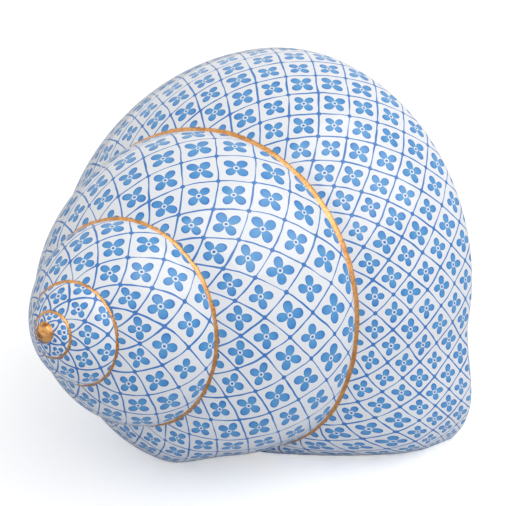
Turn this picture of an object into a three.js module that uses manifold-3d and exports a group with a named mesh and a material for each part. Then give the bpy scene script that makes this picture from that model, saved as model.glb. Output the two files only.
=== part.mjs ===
// A hollow porcelain sea snail shell that rests on its mouth, in millimetres, +Z up.
//
// The shell's outline is drawn in a half-plane that turns about the shell's axis, and grows as it turns.
// A place on it is given by the turn (0 at the crest of the body whorl, -1 at the crest of the second
// whorl, and so on back to the tip), the radius from the axis, and the depth below the tip along the axis.
// The table is the plane z = 0, and the viewer of the shell's best side looks along +Y.

import * as THREE from 'three';
import { mergeVertices } from 'three/addons/utils/BufferGeometryUtils.js';
import Module from 'manifold-3d';

const wasm = await Module();
wasm.setup();

// Where the tip of the spire is, and how the axis lies
const TIP = new THREE.Vector3(-31.21, -32.12, 39.4);
const AXIS_SWING_DEG = 36.8; // from -Y round to -X, towards the tip
const AXIS_RISE_DEG = 16.4; // up from the table, towards the tip
const AXIS_SAG = 0.031; // how far the axis leans down from square to the whorls, for each mm along it
const SIDE_SQUASH = 0.947; // width across the axis for each mm of height

// Sizes at the crests of the body, second, third and fourth whorls
const WIDEST_RADIUS = [36.9, 25.5, 14.1, 6.45];
const WIDEST_DEPTH = [57.1, 34.2, 15.6, 5.3];
const BASE_RADIUS = [7.8, 5.3, 3, 1.4];
const BASE_DROP = [19.6, 14.8, 5.9, 2.7]; // from the widest place down to the base
const LATE_SLOWING = 0.187; // the share of its radius that the body whorl would lose in one turn past its crest

// Where a whorl begins, as a share of the curve below the widest place of the whorl before, and how that wanders
const SEAM_PLACE = [0.156, 0.085, 0.085, 0.073];
const SEAM_WANDER = 0.95;
const SEAM_LOWEST_TURN = 0.12; // of each turn

// The curves of the shoulder, from the seam to the widest place, and of the base below it
const SHOULDER_SLOPE_DEG = 27.8; // how much the shoulder falls as it leaves the seam
const SHOULDER_REACH = 0.28;
const SHOULDER_DROP = 0.406;
const FLANK_DROP = 0.237;
const BASE_REACH = 0.363;

// Walls and clearances
const WALL = 2.8;
const FLOOR = 2.8; // where the underside is cut flat
const SEAM_GAP = 0.3;
const START_TURNS = 0.1; // over this stretch a whorl makes up for the gap behind its start

// The mouth, on the underside
const MOUTH_TURN = 0.594; // where the spiral ends
const LIP_TURNS = 0.14; // over this last stretch the wall curls in to the second whorl
const LIP_WALL = 1.2; // the wall where it ends there
const FLARE = -2.6; // how far the rim stands out at the table; less than 0 where it draws in
const FLARE_HEIGHT = 11;
const FLARE_START_TURN = 0.1;
const FLARE_FULL_TURN = 0.25;
const FLARE_SHARES = [0.1, 0.5]; // between these shares of the section the flare grows, so the seam keeps its place
const FOOT_SHIFT = new THREE.Vector3(10.9, -0.75, 0); // how far the foot of the last stretch lies over to the right
const FOOT_HEIGHT = 22.7; // it starts to lean over this high above the table
const FOOT_BEND = 1.4;
const FOOT_TURNS = [-0.05, 0.3]; // the lean grows over this stretch
const FOOT_SHARES = [0.02, 0.3]; // and between these shares of the section
const FOOT_EDGE_SHARES = [0.75, 1]; // and dies away again between these, so the base keeps its place
const FLOOR_TURNS = 0.28; // the first stretch of the body whorl has a floor, and past it the mouth may begin

// The gilt line, the tip bead and the pillar's hollow end
const LINE_RADIUS = 0.5;
const LINE_SIDES = 7;
const TIP_BEAD_RADIUS = 1.7;
const TIP_BEAD_RISE = 0.6; // above the point where the spiral starts
const TIP_BEAD_FLOOR = 1.1; // depth of its flat underside
const TIP_BEAD_SIDES = 20;
const NAVEL_TURN = -0.1; // the pillar's hollow end is as deep as the base is at this turn

// The mesh
const STEPS = { body: 54, second: 44, third: 34, fourth: 28, nucleus: 20 };
const LINE_STEPS = [52, 44, 34, 26];
const SECTION_POINTS = 13;
const OUTLINE_POINTS = 44;
const EDGE_SHARE = 0.12; // the filled whorls' edge on the whorl before, along its lower curve
const COLUMELLA_RINGS = 16;
const COLUMELLA_SIDES = 24;

const EARLIEST_CREST = WIDEST_RADIUS.length - 1;
const ROOM = 10 * WIDEST_RADIUS[0]; // well past the shell on every side

// The spiral's own directions in the room
const swing = THREE.MathUtils.degToRad(AXIS_SWING_DEG);
const rise = THREE.MathUtils.degToRad(AXIS_RISE_DEG);
const axis = new THREE.Vector3(
  -Math.sin(swing) * Math.cos(rise),
  -Math.cos(swing) * Math.cos(rise),
  Math.sin(rise),
);
const upward = new THREE.Vector3(0, 0, 1).addScaledVector(axis, -axis.z).normalize();
const sideways = new THREE.Vector3().crossVectors(upward, axis);
const leaningAxis = axis.clone().addScaledVector(upward, -AXIS_SAG);

/** The place in the room of a radius and a depth, on the half-plane at a turn. */
function placed(turn, [radius, depth]) {
  const angle = 2 * Math.PI * turn;
  return TIP.clone()
    .addScaledVector(leaningAxis, -depth)
    .addScaledVector(upward, radius * Math.cos(angle))
    .addScaledVector(sideways, radius * SIDE_SQUASH * Math.sin(angle));
}

/** A size at any turn: smooth through the logarithms of its values at the crests, and steady near the tip. */
function grown(crestSizes, turn) {
  const logAt = (back) => crestSizes.reduce((sum, size, i) => {
    const others = crestSizes.map((_, j) => (j === i ? 1 : (back - j) / (i - j)));
    return sum + Math.log(size) * others.reduce((product, factor) => product * factor, 1);
  }, 0);
  const step = 0.001;
  const slope = (logAt(EARLIEST_CREST) - logAt(EARLIEST_CREST - step)) / step;
  const back = Math.min(-turn, EARLIEST_CREST);
  return Math.exp(logAt(back) + slope * Math.max(-turn - EARLIEST_CREST, 0));
}

/** A point on a cubic curve through the first and last of four points. */
function onCurve([a, b, c, d], t) {
  const u = 1 - t;
  return [0, 1].map((k) => u * u * u * a[k] + 3 * u * u * t * b[k] + 3 * u * t * t * c[k] + t * t * t * d[k]);
}

/** The radius at the widest place, which grows more slowly past the body whorl's crest. */
function widestRadius(turn) {
  return grown(WIDEST_RADIUS, turn) * (1 - LATE_SLOWING * THREE.MathUtils.clamp(turn, 0, 1));
}

/** The outline's four corners for the lower curve: the widest place, its two handles and the base. */
function flankCurve(turn) {
  const radius = widestRadius(turn);
  const depth = grown(WIDEST_DEPTH, turn);
  const baseRadius = grown(BASE_RADIUS, turn);
  const drop = grown(BASE_DROP, turn);
  return [
    [radius, depth],
    [radius, depth + FLANK_DROP * drop],
    [baseRadius + BASE_REACH * (radius - baseRadius), depth + drop],
    [baseRadius, depth + drop],
  ];
}

/** The share of the lower curve of the whorl before at which the whorl begins. */
function seamPlace(turn) {
  const wave = Math.cos(2 * Math.PI * (turn - SEAM_LOWEST_TURN));
  return grown(SEAM_PLACE, turn) * (1 + SEAM_WANDER * wave);
}

/** Where the whorl begins on the whorl before it. */
function seam(turn) {
  return onCurve(flankCurve(turn - 1), seamPlace(turn));
}

/** The upper curve, from the seam over the shoulder to the widest place. */
function shoulderCurve(turn) {
  const start = seam(turn);
  const end = flankCurve(turn)[0];
  const slope = THREE.MathUtils.degToRad(SHOULDER_SLOPE_DEG);
  const reach = SHOULDER_REACH * Math.hypot(end[0] - start[0], end[1] - start[1]);
  return [
    start,
    [start[0] + reach * Math.cos(slope), start[1] + reach * Math.sin(slope)],
    [end[0], end[1] - SHOULDER_DROP * (end[1] - start[1])],
    end,
  ];
}

/** The whorl's outline: at runs from 0 at the seam, by 1 at the widest place, to 2 at the base. */
function outline(turn) {
  const shoulder = shoulderCurve(turn);
  const flank = flankCurve(turn);
  return (at) => (at < 1 ? onCurve(shoulder, at) : onCurve(flank, at - 1));
}

/** The outline set in by a distance, towards the inside of the whorl. */
function setIn(curve, distance) {
  const step = 0.001;
  return (at) => {
    const [r, d] = curve(at);
    const before = curve(Math.max(at - step, 0));
    const after = curve(Math.min(at + step, 2));
    const along = [after[0] - before[0], after[1] - before[1]];
    const length = Math.hypot(...along);
    return [r - (distance * along[1]) / length, d + (distance * along[0]) / length];
  };
}

/** How far a point is outside a whorl's outline; negative inside it. */
function distanceFrom(curve) {
  const points = Array.from({ length: OUTLINE_POINTS + 1 }, (_, i) => curve((2 * i) / OUTLINE_POINTS));
  return ([r, d]) => {
    let nearest = { distance: Infinity, side: 1 };
    for (let i = 0; i < OUTLINE_POINTS; i += 1) {
      const [a, b] = [points[i], points[i + 1]];
      const [dr, dd] = [b[0] - a[0], b[1] - a[1]];
      const share = THREE.MathUtils.clamp(((r - a[0]) * dr + (d - a[1]) * dd) / (dr * dr + dd * dd), 0, 1);
      const [er, ed] = [r - a[0] - share * dr, d - a[1] - share * dd];
      const distance = Math.hypot(er, ed);
      if (distance < nearest.distance) {
        nearest = { distance, side: er * dd - ed * dr >= 0 ? 1 : -1 };
      }
    }
    return nearest.distance * nearest.side;
  };
}

/** The first place along a curve, from its start, that is clear of the whorl before. */
function clearStart(curve, distance, clearance) {
  const step = 0.004;
  let at = 0;
  while (at < 1 && distance(curve(at)) < clearance) {
    at += step;
  }
  return at;
}

/** Points of a curve from one place to another. */
function points(curve, from, to) {
  return Array.from({ length: SECTION_POINTS }, (_, i) => curve(from + ((to - from) * i) / (SECTION_POINTS - 1)));
}

/** The middle of the edge that rests on the whorl before, moved out to its clearance. */
function edgeMiddle(a, b, distance) {
  const middle = [(a[0] + b[0]) / 2, (a[1] + b[1]) / 2];
  const short = SEAM_GAP - distance(middle);
  const length = Math.hypot(b[0] - a[0], b[1] - a[1]);
  return [middle[0] + (short * (b[1] - a[1])) / length, middle[1] - (short * (b[0] - a[0])) / length];
}

/** The section of a hollow whorl's wall, closed: edge on the whorl before, outside, base, inside. */
function wallSection(turn) {
  return sectionWithin(turn, outline(turn), WALL);
}

/** The section of a wall of any thickness inside any curve. */
function sectionWithin(turn, curve, wall) {
  const distance = distanceFrom(outline(turn - 1));
  const inner = setIn(curve, wall);
  const outside = points(curve, clearStart(curve, distance, SEAM_GAP), 2);
  const inside = points(inner, clearStart(inner, distance, SEAM_GAP), 2);
  return [edgeMiddle(outside[0], inside[0], distance), ...outside, ...inside.reverse()];
}

/** The section of a whorl that is filled as far in as the whorl before it. */
function filledSection(turn) {
  const curve = outline(turn);
  const before = outline(turn - 1);
  const distance = distanceFrom(before);
  const outside = points(curve, clearStart(curve, distance, SEAM_GAP), 2);
  const pastSeam = 1 + seamPlace(turn) + EDGE_SHARE;
  const inside = points(setIn(before, -SEAM_GAP), pastSeam, 2);
  return [edgeMiddle(outside[0], inside[0], distance), ...outside, ...inside.reverse()];
}

/** The share of the way into the curled lip: 0 before it, 1 at the end of the spiral. */
function lipShare(turn) {
  return THREE.MathUtils.smoothstep(turn, MOUTH_TURN - LIP_TURNS, MOUTH_TURN);
}

/** The body whorl's outline, whose last stretch closes in on the lower curve of the whorl before. */
function bodyOutline(turn) {
  const share = lipShare(turn);
  const free = outline(turn);
  const cover = setIn(outline(turn - 1), -(LIP_WALL + SEAM_GAP));
  const pastSeam = 1 + seamPlace(turn);
  return (at) => {
    const [a, b] = [free(at), cover(THREE.MathUtils.lerp(pastSeam, 2, at / 2))];
    return [a[0] + share * (b[0] - a[0]), a[1] + share * (b[1] - a[1])];
  };
}

/** The section of the body whorl, whose end curls in and thins out on the whorl before. */
function bodySection(turn) {
  const share = lipShare(turn);
  const wall = THREE.MathUtils.lerp(WALL, LIP_WALL, share);
  return sectionWithin(turn, bodyOutline(turn), wall);
}

/** Closed sections placed in the room, at even turns from start to end. */
function ringsOf(start, end, steps, section, place = placed) {
  return Array.from({ length: steps + 1 }, (_, i) => {
    const turn = start + ((end - start) * i) / steps;
    return section(turn).map((point, k) => place(turn, point, k));
  });
}

/** The corners of the faces between each ring and the next. */
function facesBetween(rings) {
  const corners = [];
  for (let i = 0; i < rings.length - 1; i += 1) {
    rings[i].forEach((a, k) => {
      const next = (k + 1) % rings[i].length;
      const [b, c, d] = [rings[i + 1][k], rings[i + 1][next], rings[i][next]];
      corners.push(a, b, c, a, c, d);
    });
  }
  return corners;
}

/** A solid through wall sections, closed at both its ends. */
function swept(start, end, steps, section, place) {
  const rings = ringsOf(start, end, steps, section, place);
  const corners = facesBetween(rings);
  closeEnd(rings[0], corners, false);
  closeEnd(rings[steps], corners, true);
  return solidGeometry(corners);
}

/** Closes a sweep's end, between the outside and the inside of its section. */
function closeEnd(ring, corners, reversed) {
  const add = (a, b, c) => corners.push(...(reversed ? [a, c, b] : [a, b, c]));
  const last = ring.length - 1;
  add(ring[0], ring[1], ring[last]);
  for (let k = 1; k < last - k; k += 1) {
    const [outer, outerNext, innerNext, inner] = [ring[k], ring[k + 1], ring[last - k], ring[last - k + 1]];
    add(outer, outerNext, inner);
    if (k + 1 < last - k) {
      add(outerNext, innerNext, inner);
    }
  }
}

/** A geometry of merged corners, without faces of no area, whose faces point outwards. */
function solidGeometry(corners) {
  const merged = mergeVertices(new THREE.BufferGeometry().setFromPoints(corners), 1e-4);
  const index = Array.from(merged.getIndex().array);
  const kept = [];
  for (let i = 0; i < index.length; i += 3) {
    const face = index.slice(i, i + 3);
    if (new Set(face).size === 3) {
      kept.push(...face);
    }
  }
  merged.setIndex(kept);
  return volume(merged) < 0 ? turnedOut(merged) : merged;
}

function volume(geometry) {
  const position = geometry.getAttribute('position');
  const index = geometry.getIndex();
  const corner = (i) => new THREE.Vector3().fromBufferAttribute(position, index.getX(i));
  let sum = 0;
  for (let i = 0; i < index.count; i += 3) {
    sum += corner(i).dot(corner(i + 1).cross(corner(i + 2))) / 6;
  }
  return sum;
}

function turnedOut(geometry) {
  const index = Array.from(geometry.getIndex().array);
  for (let i = 0; i < index.length; i += 3) {
    [index[i + 1], index[i + 2]] = [index[i + 2], index[i + 1]];
  }
  geometry.setIndex(index);
  return geometry;
}

function toManifold(geometry) {
  return new wasm.Manifold(new wasm.Mesh({
    numProp: 3,
    vertProperties: new Float32Array(geometry.getAttribute('position').array),
    triVerts: new Uint32Array(geometry.getIndex().array),
  }));
}

function fromManifold(solid) {
  const { vertProperties, triVerts } = solid.getMesh();
  const geometry = new THREE.BufferGeometry();
  geometry.setAttribute('position', new THREE.BufferAttribute(new Float32Array(vertProperties), 3));
  geometry.setIndex(new THREE.BufferAttribute(new Uint32Array(triVerts), 1));
  return geometry;
}

/** A wide slab that lies on the table. */
function slab(height) {
  const box = new THREE.BoxGeometry(ROOM, ROOM, height).translate(0, 0, height / 2);
  box.deleteAttribute('normal');
  box.deleteAttribute('uv');
  return toManifold(mergeVertices(box));
}

/** A cut solid without its loose offcuts. */
function largest(solid) {
  return fromManifold(solid.decompose().sort((a, b) => b.volume() - a.volume())[0]);
}

/** What is left of a solid above the table. */
function standing(solid) {
  return largest(solid.intersect(slab(ROOM)));
}

/** A hollow whorl with a floor where the table cuts it, made from the same whorl filled. */
function floored(hollow, filled) {
  return standing(toManifold(hollow).add(toManifold(filled).intersect(slab(FLOOR))));
}

/** Places in the room for a piece that starts at a turn, moved on there to clear the piece that ends there. */
function placedFrom(start, place = placed) {
  return (turn, point, k) => {
    const angle = 2 * Math.PI * turn;
    const share = THREE.MathUtils.clamp(1 - (turn - start) / START_TURNS, 0, 1);
    return place(turn, point, k)
      .addScaledVector(upward, -SEAM_GAP * share * Math.sin(angle))
      .addScaledVector(sideways, SEAM_GAP * share * Math.cos(angle));
  };
}

/** One turn of the spiral. */
function whorl(start, steps, section, place) {
  return swept(start, start + 1, steps, section, placedFrom(start, place));
}

// A quarter turn before the spiral ends, half way out to the widest place
const mouthMiddle = placed(MOUTH_TURN - 0.25, [widestRadius(0) / 2, grown(WIDEST_DEPTH, 0)]);

/** The body whorl's place in the room: its foot flares and leans over where it comes down to the table. */
function bodyPlaced(turn, point, k) {
  const { clamp, smoothstep } = THREE.MathUtils;
  const spot = placed(turn, point);
  const along = Math.min(k, 2 * SECTION_POINTS + 1 - k) / SECTION_POINTS;
  const free = 1 - lipShare(turn);
  const flareNear = clamp(1 - spot.z / FLARE_HEIGHT, 0, 1) ** 2;
  const flareShare = smoothstep(turn, FLARE_START_TURN, FLARE_FULL_TURN) * smoothstep(along, ...FLARE_SHARES);
  const footNear = clamp(1 - spot.z / FOOT_HEIGHT, 0, 1) ** FOOT_BEND;
  const footShare = smoothstep(turn, ...FOOT_TURNS) * smoothstep(along, ...FOOT_SHARES);
  const kept = 1 - smoothstep(along, ...FOOT_EDGE_SHARES);
  const outwards = spot.clone().sub(mouthMiddle).setZ(0).normalize();
  return spot
    .addScaledVector(outwards, FLARE * flareNear * flareShare * free)
    .addScaledVector(FOOT_SHIFT, footNear * footShare * kept * free);
}

function bodyWhorl() {
  const hollow = whorl(START.body, STEPS.body, bodySection, bodyPlaced);
  const steps = Math.round(FLOOR_TURNS * STEPS.body);
  const filled = swept(START.body, START.body + steps / STEPS.body, steps, filledSection, placedFrom(START.body));
  return floored(hollow, filled);
}

function secondWhorl() {
  const hollow = whorl(START.second, STEPS.second, wallSection);
  return floored(hollow, whorl(START.second, STEPS.second, filledSection));
}

/** The groove's bottom at a turn: as near as the line's own radius and clearance let it lie to both whorls. */
function grooveMiddle(turn) {
  const distance = distanceFrom(outline(turn - 1));
  const stand = LINE_RADIUS + SEAM_GAP;
  const above = setIn(bodyOutline(turn), -stand);
  return above(clearStart(above, distance, stand));
}

/** One turn of the gilt line, in the groove where the whorl that starts there meets the whorl before. */
function giltLine(start, steps) {
  const section = (turn) => {
    const [r, d] = grooveMiddle(turn);
    return Array.from({ length: LINE_SIDES }, (_, k) => {
      const angle = (2 * Math.PI * k) / LINE_SIDES;
      return [r + LINE_RADIUS * Math.cos(angle), d + LINE_RADIUS * Math.sin(angle)];
    });
  };
  return standing(toManifold(whorl(start, steps, section)));
}

/** A solid turned about the shell's axis, from a profile of radius and depth. */
function turned(profile, sides) {
  const flipped = profile.map(([radius, depth]) => new THREE.Vector2(radius, -depth));
  const geometry = new THREE.LatheGeometry(flipped, sides);
  geometry.deleteAttribute('normal');
  geometry.deleteAttribute('uv');
  const across = sideways.clone().multiplyScalar(-SIDE_SQUASH);
  geometry.applyMatrix4(new THREE.Matrix4().makeBasis(across, leaningAxis, upward).setPosition(TIP));
  const merged = mergeVertices(geometry, 1e-4);
  return volume(merged) < 0 ? turnedOut(merged) : merged;
}

const START = {
  body: MOUTH_TURN - 1,
  second: MOUTH_TURN - 2,
  third: MOUTH_TURN - 3,
  fourth: MOUTH_TURN - 4,
  nucleus: MOUTH_TURN - 5,
};

/** The gilded drop that closes the tip, from its crown down to a flat underside. */
function tipBead() {
  const rounding = 5;
  const height = TIP_BEAD_FLOOR + TIP_BEAD_RISE;
  const crown = Array.from({ length: rounding + 1 }, (_, i) => {
    const angle = (Math.PI / 2) * (i / rounding);
    return [TIP_BEAD_RADIUS * Math.sin(angle), TIP_BEAD_FLOOR - height * Math.cos(angle)];
  });
  return turned([...crown, [0, TIP_BEAD_FLOOR]], TIP_BEAD_SIDES);
}

/** The nucleus, with a seat for the tip bead. */
function nucleus() {
  const seatRadius = TIP_BEAD_RADIUS + SEAM_GAP;
  const seatFloor = TIP_BEAD_FLOOR + SEAM_GAP;
  const seatTop = -2 * TIP_BEAD_RADIUS;
  const seat = turned([[0, seatTop], [seatRadius, seatTop], [seatRadius, seatFloor], [0, seatFloor]], TIP_BEAD_SIDES);
  const filled = whorl(START.nucleus, STEPS.nucleus, filledSection);
  return largest(toManifold(filled).subtract(toManifold(seat)));
}

/** The base's radius and depth at a turn. */
function base(turn) {
  return flankCurve(turn)[3];
}

/** The turn at which the base is at a depth. */
function turnOfBase(depth) {
  let [early, late] = [START.fourth, MOUTH_TURN];
  while (late - early > 1e-4) {
    const middle = (early + late) / 2;
    [early, late] = base(middle)[1] < depth ? [middle, late] : [early, middle];
  }
  return early;
}

/** Half the pillar's section at a turn of the body whorl, whose base its rim follows. */
function pillarSection(turn) {
  const rim = turnOfBase(bodyOutline(turn)(2)[1]);
  const side = Array.from({ length: COLUMELLA_RINGS + 1 }, (_, i) => {
    const [radius, depth] = base(THREE.MathUtils.lerp(START.fourth, rim, i / COLUMELLA_RINGS));
    return [radius - SEAM_GAP, depth];
  });
  return [[0, side[0][1]], ...side, [0, base(NAVEL_TURN)[1]]];
}

/** The pillar on the axis that the bases of all the whorls end at, with a navel in its lower end. */
function columella() {
  const rings = ringsOf(START.body, MOUTH_TURN, COLUMELLA_SIDES, pillarSection);
  rings[COLUMELLA_SIDES] = rings[0];
  return solidGeometry(facesBetween(rings));
}

function porcelain() {
  return new THREE.MeshStandardMaterial({ color: 0xeef1f5, roughness: 0.12, metalness: 0 });
}

function gilding() {
  return new THREE.MeshStandardMaterial({ color: 0xc98845, roughness: 0.28, metalness: 1 });
}

const shell = new THREE.Group();

function add(name, geometry, material) {
  const mesh = new THREE.Mesh(geometry, material);
  mesh.name = name;
  shell.add(mesh);
}

add('body_whorl', bodyWhorl(), porcelain());
add('second_whorl', secondWhorl(), porcelain());
add('third_whorl', whorl(START.third, STEPS.third, wallSection), porcelain());
add('fourth_whorl', whorl(START.fourth, STEPS.fourth, filledSection), porcelain());
add('nucleus', nucleus(), porcelain());
add('columella', columella(), porcelain());
[START.body, START.second, START.third, START.fourth].forEach((start, i) => {
  add(`gilt_line_${i + 1}`, giltLine(start, LINE_STEPS[i]), gilding());
});
add('tip_bead', tipBead(), gilding());

export default shell;
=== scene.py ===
"""A hollow porcelain sea snail shell with a painted glaze and gilt lines, on a pale table.

The shell grows by one law. A place on it has a turn (0 at the crest of the body whorl, -1 at the crest of
the second whorl, and so on back to the tip), a radius from the axis and a depth below the tip. Geometry
Nodes hold the law and make the whorls, the pillar inside and the gilt lines from it.
"""

import math

import bmesh
import bpy
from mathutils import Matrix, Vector


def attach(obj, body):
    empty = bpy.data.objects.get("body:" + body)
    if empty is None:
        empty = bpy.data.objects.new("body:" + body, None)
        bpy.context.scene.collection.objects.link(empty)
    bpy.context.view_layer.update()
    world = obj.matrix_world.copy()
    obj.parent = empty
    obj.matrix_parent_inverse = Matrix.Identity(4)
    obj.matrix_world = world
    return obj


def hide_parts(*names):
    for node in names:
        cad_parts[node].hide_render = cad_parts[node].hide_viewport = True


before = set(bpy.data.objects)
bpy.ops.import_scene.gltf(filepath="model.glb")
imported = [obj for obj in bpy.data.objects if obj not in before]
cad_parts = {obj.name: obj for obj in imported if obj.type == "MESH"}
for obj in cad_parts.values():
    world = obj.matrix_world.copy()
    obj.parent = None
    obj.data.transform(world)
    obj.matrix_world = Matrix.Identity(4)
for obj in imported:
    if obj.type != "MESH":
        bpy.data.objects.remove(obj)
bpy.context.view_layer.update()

MM = 0.001

# Where the tip of the spire is, and how the axis lies
TIP = Vector((-31.21, -32.12, 39.4)) * MM
AXIS_SWING = math.radians(36.8)  # from -Y round to -X, towards the tip
AXIS_RISE = math.radians(16.4)  # up from the table, towards the tip
AXIS_SAG = 0.031
SIDE_SQUASH = 0.947

# Sizes in mm at the crests of these four whorls
CREST_LABELS = ("body", "second", "third", "fourth")
CRESTS = {
    "Widest radius": (36.9, 25.5, 14.1, 6.45),
    "Widest depth": (57.1, 34.2, 15.6, 5.3),
    "Base radius": (7.8, 5.3, 3, 1.4),
    "Base drop": (19.6, 14.8, 5.9, 2.7),
}

# Where a whorl begins, as a share of the curve below the widest place of the whorl before, and how that
# wanders; less than 0 is in front of the widest place
SEAM_PLACE = (0.04, 0.06, 0.08, 0.07)
SEAM_WANDER = 2.2
SEAM_LOWEST_TURN = 0.2  # of each turn

# The curves of the shoulder and of the base below the widest place. The late slowing is the share of its
# radius that the body whorl would lose in one turn past its crest
CURVES = {
    "Shoulder slope": math.radians(27.8),
    "Shoulder reach": 0.28,
    "Shoulder drop": 0.406,
    "Flank drop": 0.237,
    "Base reach": 0.363,
    "Late slowing": 0.187,
    "Seam wander": SEAM_WANDER,
    "Seam lowest turn": SEAM_LOWEST_TURN,
}

# The mouth, where the spiral ends, and the lip, where the last stretch closes in on the whorl before
MOUTH_TURN = 0.594
LIP_TURNS = 0.14
LIP_CLEARANCE = 0.05 * MM

# How the foot of the last stretch draws in: by height, by turn and by share of the outline
FLARE = -3.7 * MM  # less than 0 is towards the middle of the mouth
FLARE_HEIGHT = 11 * MM
FLARE_BEND = 2.0
FLARE_TURNS = (0.0, 0.6)
FLARE_SHARES = (0.05, 0.35)

# How the foot of the last stretch lies over to the right, in the same way
FOOT_SHIFT = Vector((10.9, -0.75, 0)) * MM
FOOT_HEIGHT = 22.7 * MM
FOOT_BEND = 1.4
FOOT_TURNS = (-0.05, 0.3)
FOOT_SHARES = (0.02, 0.3)
FOOT_EDGE_SHARES = (0.75, 1.0)  # where it ends again, towards the base

# How the belly of the second whorl and the front of the rim lie over near the table, in any piece; the
# places across are in mm, from where a shift begins to where it is whole
BELLY_SHIFT = Vector((-1.6, 0, 0)) * MM
BELLY_ACROSS = ((0, -12),)
RIM_SHIFT = Vector((-1.2, 4.6, 0)) * MM
RIM_ACROSS = ((-15, -4), (19, 2))
SHIFT_HEIGHT = 17 * MM
SHIFT_BEND = 1.5
SHIFT_FROM_FRONT = (4 * MM, -7 * MM)

# The turn before which the underside is closed where the table cuts it, and a turn that no piece reaches
FLOOR_UNTIL = -0.1
NO_FLOOR = -10.0

# How thick the cast wall is, and the underside where the table closes it
WALL = 2.8 * MM
FLOOR = 2.8 * MM

# Points along a turn and along half the outline of each whorl, and whether the whorl is filled
WHORLS = (
    ("body_whorl", 300, 56, 0.0),
    ("second_whorl", 260, 48, 0.0),
    ("third_whorl", 200, 40, 0.0),
    ("fourth_whorl", 160, 32, 1.0),
    ("nucleus", 120, 24, 1.0),
)

# The painted design: motifs to a turn at the crest of the body whorl, and how that grows from turn to turn
MOTIFS = 33
MOTIF_GROWTH = 1.62

# The widths of the gilt lines above and below the groove, in mm, from the outermost line in to the tip
LINE_WIDTHS = ((0.5, 0.68), (0.5, 0.62), (0.42, 0.5), (0.34, 0.4))
LINE_CROWN = 0.1 * MM
LINE_SINK = 0.03 * MM
LINE_UNEVENNESS = 0.5
LINE_WANDERS = 30.0  # uneven places to a turn
LINE_SIDES = (("Width above", -1.0, 0.0), ("Width below", 1.0, 50.0))  # name, side, place in the noise
LINE_NOISE = (1.0, 2.0, 0.5)
LINE_SEED = 3.0
NEXT_SEED = 7.0

# The gilt tip: a low dome that is seated in the nucleus
TIP_RADIUS = 1.6 * MM
TIP_RISE = 0.22 * MM
TIP_SEAT = 1.1 * MM
TIP_UNEVENNESS = 0.42 * MM
TIP_LUMPS = (700.0, 2.0, 0.5)  # to a metre, detail and roughness

# Colours
PORCELAIN = "#F1F4F8"
BLUE_LIGHT = "#66ACE0"
BLUE_DEEP = "#3488D0"
COBALT_LIGHT = "#4C8ED4"
COBALT_DEEP = "#2266BA"
GOLD_DEEP = "#BA7C44"
GOLD_BRIGHT = "#E9AE70"
GOLD_POOL = "#95602F"
PAPER = "#F2F2F2"
FLOOR_BOUNCE = "#D2D5DB"  # what the paper throws back onto the shell

# The strokes of the trellis: half their width in mm, how the hand's pressure varies it, how soft the colour
# ends under the glaze, and how far the hand wanders, as a share of a diamond
STROKE = 0.12
STROKE_VARIES = (0.5, 1.5)
STROKE_SOFTNESS = 0.04
HAND_WOBBLE = 0.12

# The blossoms: their length and tilt from one to the next, the petals' roundness and edge, and the radii of
# the eye, of the white ring around it and of the dot where strokes cross, in mm
BLOSSOM = 0.27  # of a diamond
BLOSSOM_VARIES = (0.92, 1.08)
BLOSSOM_TILT = 0.3
PETAL_ROUNDNESS = 0.6
PETAL_SOFTNESS = 0.06
PETAL_EDGE = 0.8  # of a stroke
EYE = 0.22
EYE_RING = 0.42
CROSSING_DOT = 0.36
DOT_SOFTNESS = 0.05

# How dense the blue of the petals is: from the eye out to their ends, and by how wet the brush was
FILL_ALONG = (0.2, 1.0)
FILL_DENSITY = (0.25, 0.75)
FILL_WETNESS = (-0.25, 0.25)

# The borders on the base, as shares of the widest radius, how far the last stroke may reach past its place,
# and how many mm the widest radius counts as for their strokes
BORDERS = (0.62, 0.57, 0.3)
BORDER_SLACK = 0.004
BORDER_RADIUS = 52.0

# Noises: how many to a metre, their detail and their roughness; and the span of their usual values
HAND_NOISE = (170.0, 2.0, 0.5)
PRESSURE_NOISE = (260.0, 2.0, 0.5)
WETNESS_NOISE = (420.0, 3.0, 0.6)
WAVE_NOISE = (110.0, 2.0, 0.5)
POOL_NOISE = (400.0, 2.0, 0.5)
LINE_MARKS = (2600.0, 3.0, 0.6)
TIP_MARKS = (1300.0, 3.0, 0.6)
NOISE_SPAN = (0.3, 0.7)

# The glaze and the gold; the distances of their waves and marks are in metres
GLAZE = {"Roughness": 0.09, "IOR": 1.5}
GLAZE_WAVES = {"Strength": 0.25, "Distance": 0.0002}
GOLD = {"Metallic": 1.0, "Roughness": 0.3}
GOLD_MARKS = {"Strength": 0.35, "Distance": 0.00005}
MARK_SHARES = (0.6, 0.4)  # of the brush marks and of the pools in the gold's colour
LINE_CONTRAST = 0.12
TIP_CONTRAST = 0.07

# The turn whose base gives the depth of the navel in the pillar's foot
NAVEL_TURN = -0.1

# Small steps for finding a direction along a curve, the distance at which points are welded, and the angle
# past which an edge is sharp
TANGENT_STEP = 0.002
EDGE_STEP = 0.02
WELD = 0.002 * MM
CREASE = math.radians(35)

# The camera, the lamp and the room
LENS = 110.8
CAMERA_TILT = math.radians(29.994)
SENSOR_WIDTH = 36
CAMERA_AIM = Vector((-4.468, 3.69, 26.485)) * MM
CAMERA_DISTANCE = 261.81 * MM
CAMERA_RIGHT = 0.01762  # how far the view turns to the right and up from its aim
CAMERA_UP = 0.01871
ROOM_LIGHT = 0.6
TABLE_REACH = 3.0
TABLE_GLOW = 0.42  # seen by the camera only
LAMP_SIZE = (0.9, 0.7)
LAMP_POWER = 2.8
LAMP_PLACE = Vector((0.35, -0.25, 0.6))
LAMP_AIM = Vector((0, 0, 0.03))
WHITE = (1, 1, 1, 1)

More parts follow.
